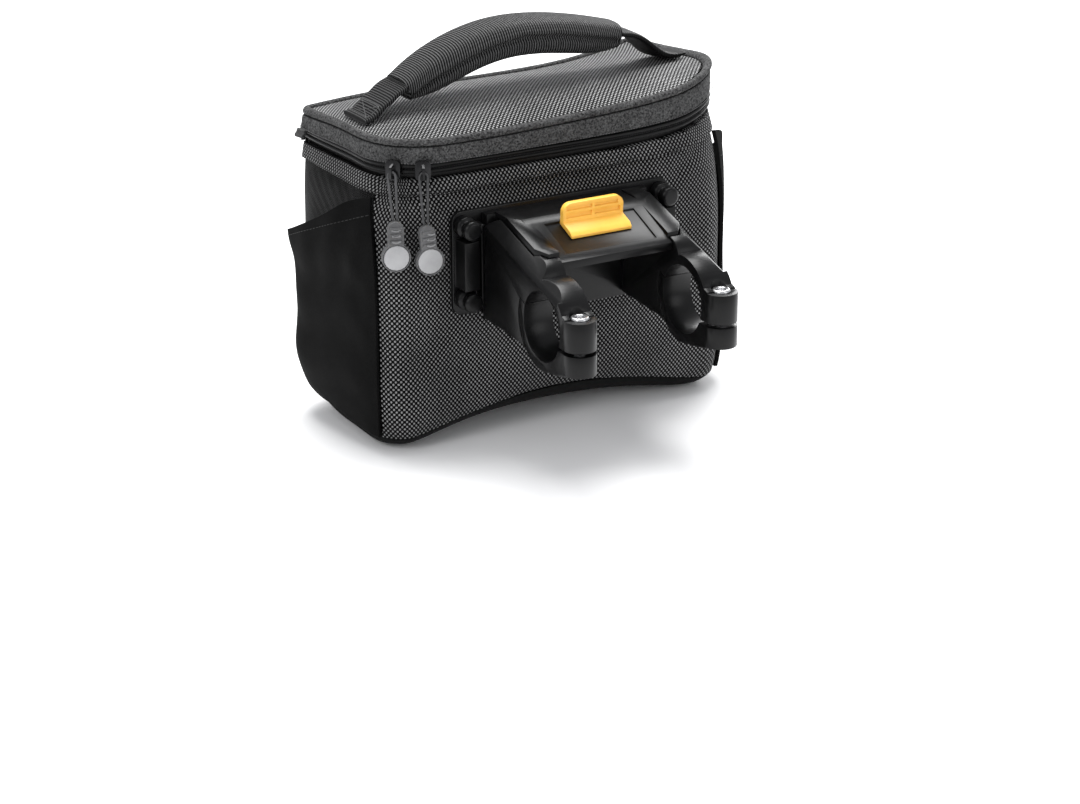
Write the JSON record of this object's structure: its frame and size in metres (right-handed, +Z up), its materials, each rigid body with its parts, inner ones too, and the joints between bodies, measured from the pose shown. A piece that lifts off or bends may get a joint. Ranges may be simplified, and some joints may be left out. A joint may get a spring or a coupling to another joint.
{
  "type": "bicycle handlebar bag",
  "caption": "Boxy fabric bag with a zipped crowned lid, padded carry handle and side pockets, on a quick-release bracket that clamps a handlebar.",
  "frame": {"origin": "on the surface the bag stands on, under the middle of the tub", "axes": "+X along the handlebar, +Y from the bracket to the front panel, +Z up"},
  "size_m": [0.2122, 0.1841, 0.186],
  "materials": {
    "weave": "coarse basket weave",
    "plain_cloth": "smooth close weave",
    "band_cloth": "heathered",
    "stretch_cloth": "matte stretch knit",
    "webbing": "ribbed webbing",
    "zip": "coil zip",
    "zip_metal": "dark satin",
    "pull_rubber": "translucent matte",
    "pull_disc": "satin",
    "plastic": "fine satin texture",
    "button_plastic": "satin",
    "steel": "turned"
  },
  "bodies": {
    "bag": {"bottom_panel": "plain_cloth", "front_panel": "weave", "back_panel": "weave", "side_panel_left": "plain_cloth", "side_panel_right": "plain_cloth", "body_hem": "weave", "zip_tape": "zip", "lid_hinge": "plain_cloth", "zip_chain": "zip", "lid_band": "band_cloth", "lid_piping": "band_cloth", "lid_top": "weave", "side_pocket_left": "stretch_cloth", "side_pocket_right": "stretch_cloth", "handle_grip": "webbing", "handle_strap_left": "webbing", "handle_strap_right": "webbing", "zip_slider_left": "zip_metal", "pull_loop_left": "webbing", "pull_tab_left": "pull_rubber", "tab_disc_left": "pull_disc", "zip_slider_right": "zip_metal", "pull_loop_right": "webbing", "pull_tab_right": "pull_rubber", "tab_disc_right": "pull_disc", "back_plate": "plastic", "plate_stud_left_top": "plastic", "plate_stud_left_bottom": "plastic", "plate_stud_right_top": "plastic", "plate_stud_right_bottom": "plastic"},
    "bracket": {"bracket_core": "plastic", "clamp_arm_left": "plastic", "clamp_cap_left": "plastic", "clamp_bolt_left": "steel", "clamp_arm_right": "plastic", "clamp_cap_right": "plastic", "clamp_bolt_right": "steel"},
    "button": {"release_button": "button_plastic"}
  },
  "joints": [
    {"name": "bracket_release", "type": "slide", "parent": "bag", "child": "bracket", "axis": [0, 0, -1], "range_m": [0, 0.045]},
    {"name": "button_slide", "type": "slide", "parent": "bracket", "child": "button", "axis": [0, -0.9272, -0.3746], "range_m": [0, 0.005], "stiffness_N_per_m": 300}
  ]
}
